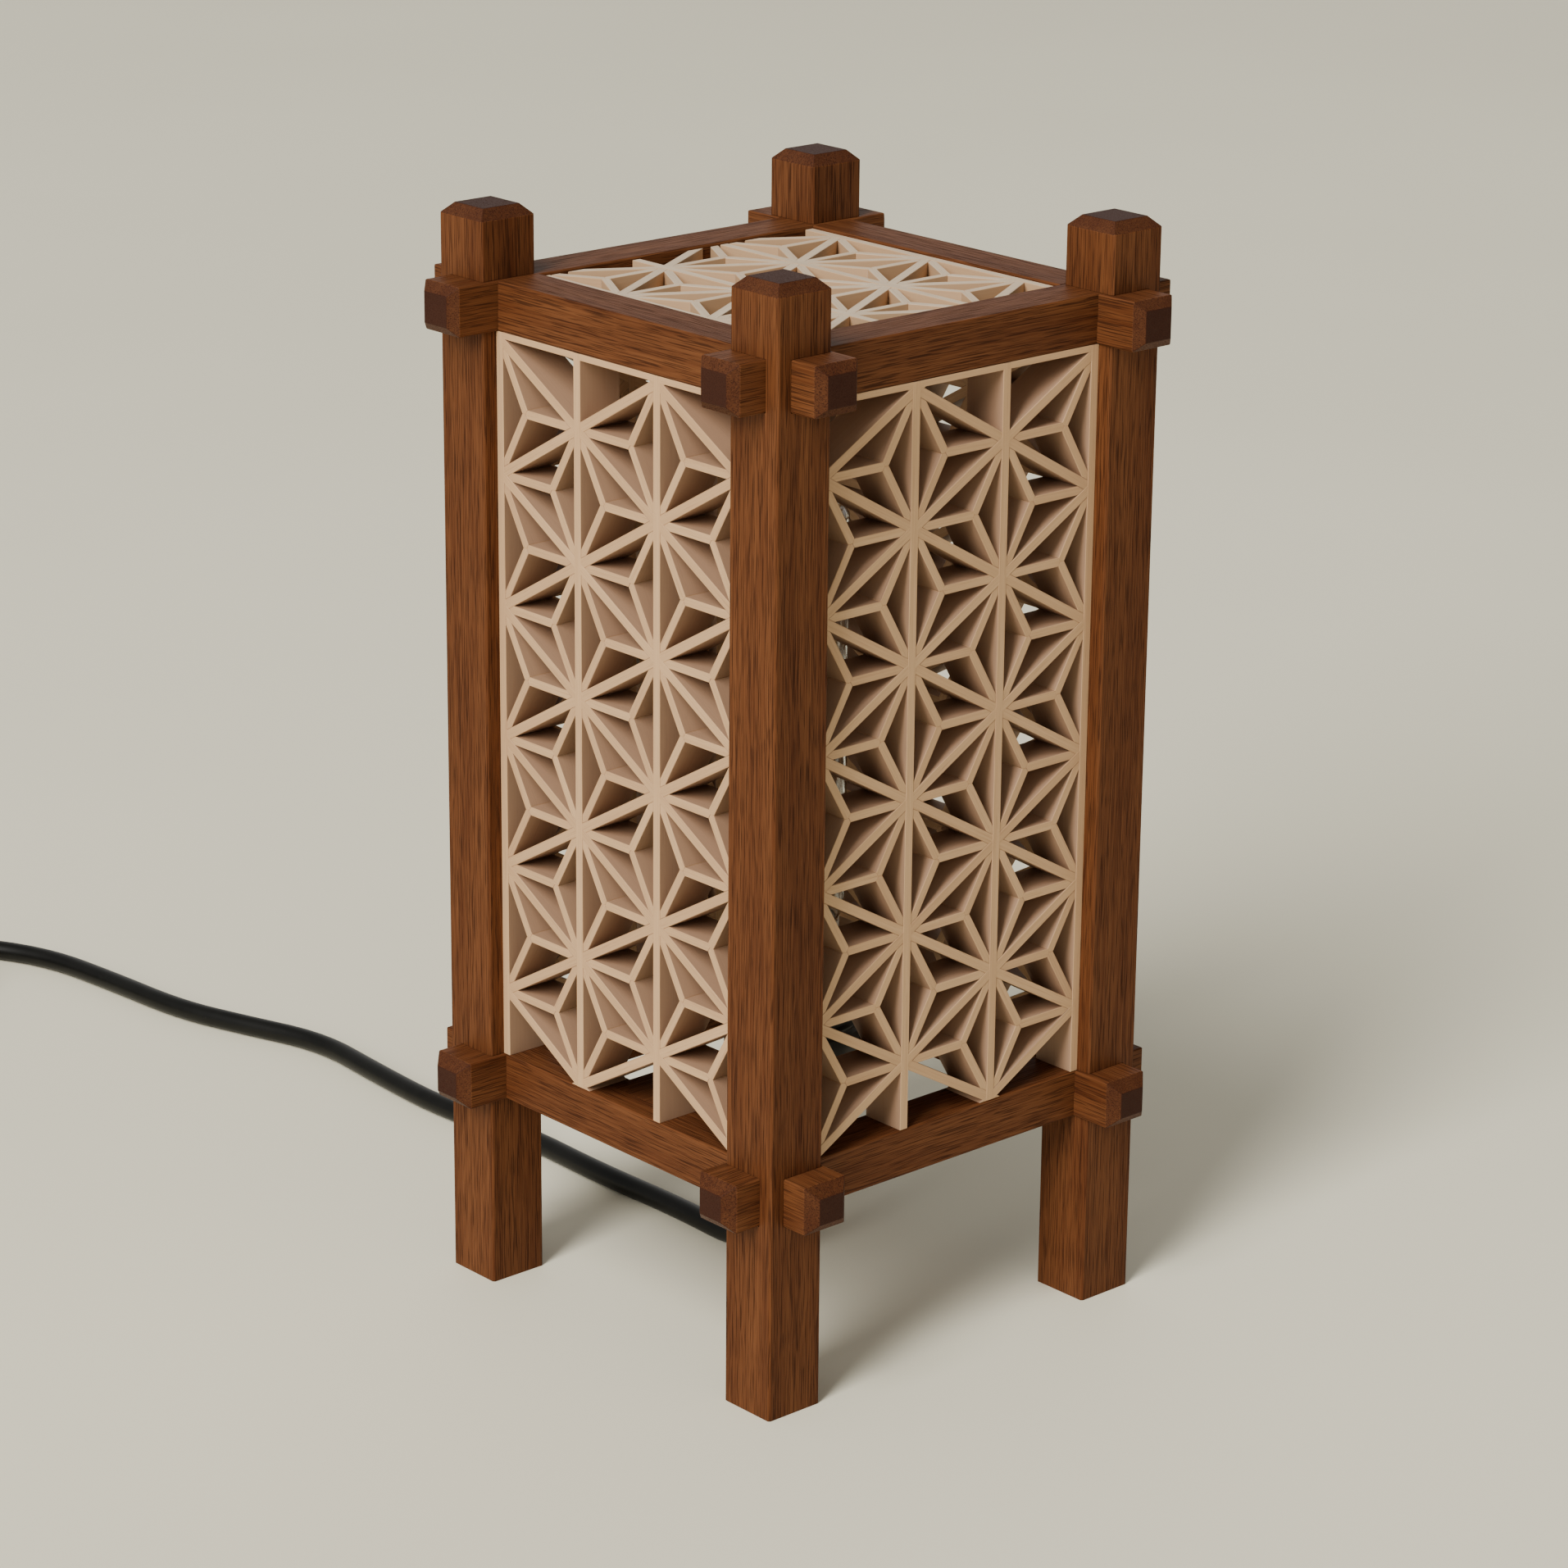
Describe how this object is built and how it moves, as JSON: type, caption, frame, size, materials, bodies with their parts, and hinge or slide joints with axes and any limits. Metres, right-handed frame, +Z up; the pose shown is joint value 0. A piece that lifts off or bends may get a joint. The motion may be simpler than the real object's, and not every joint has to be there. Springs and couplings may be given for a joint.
{
  "type": "table lamp",
  "caption": "Square wooden table lamp: posts and crossing rails hold hemp-leaf lattice sides and a lift-out lattice top round a screw-in tube bulb, with a coiled mains lead.",
  "frame": {"origin": "on the floor, at the centre of the four feet", "axes": "+Z up, -Y out of the front lattice, -X out of the left lattice, +Y towards the lead"},
  "size_m": [0.2879, 0.5359, 0.34],
  "materials": {
    "dark_wood": "satin oiled red-brown hardwood",
    "pale_wood": "plain planed pale softwood",
    "black_plastic": "moulded, matte",
    "white_plastic": "moulded, satin",
    "clear_glass": "clear, polished",
    "brass": "drawn",
    "nickel": "nickel-plated",
    "steel": "plated",
    "black_lead": "flexible, satin"
  },
  "bodies": {
    "frame": {"post_front": "dark_wood", "post_right": "dark_wood", "post_back": "dark_wood", "post_left": "dark_wood", "top_rail_front": "dark_wood", "top_rail_right": "dark_wood", "top_rail_back": "dark_wood", "top_rail_left": "dark_wood", "bottom_rail_front": "dark_wood", "bottom_rail_right": "dark_wood", "bottom_rail_back": "dark_wood", "bottom_rail_left": "dark_wood", "cleat_left": "dark_wood", "cleat_right": "dark_wood", "cross_bar": "dark_wood", "grid_front": "pale_wood", "leaves_front": "pale_wood", "grid_right": "pale_wood", "leaves_right": "pale_wood", "grid_back": "pale_wood", "leaves_back": "pale_wood", "grid_left": "pale_wood", "leaves_left": "pale_wood", "holder_body": "black_plastic", "holder_shell": "brass", "holder_contact": "brass", "threaded_tube": "steel", "tube_nut": "steel", "strain_relief": "black_plastic", "lead_tube": "black_lead", "lead_coil": "black_lead", "lead_tie": "black_lead", "plug_body": "black_lead", "plug_blades": "brass"},
    "bulb": {"bulb_cap": "nickel", "bulb_insulator": "black_plastic", "bulb_contact": "nickel", "bulb_housing": "white_plastic", "bulb_diffuser": "clear_glass", "bulb_filament": "nickel"},
    "top_panel": {"top_grid": "pale_wood", "top_leaves": "pale_wood"}
  },
  "joints": [
    {"name": "bulb_turn", "type": "hinge", "parent": "frame", "child": "bulb", "pos_m": [0, 0, 0.1], "axis": [0, 0, 1], "range_deg": [0, 1620]},
    {"name": "top_panel_lift", "type": "slide", "parent": "frame", "child": "top_panel", "axis": [0, 0, 1], "range_m": [0, 0.05]}
  ]
}
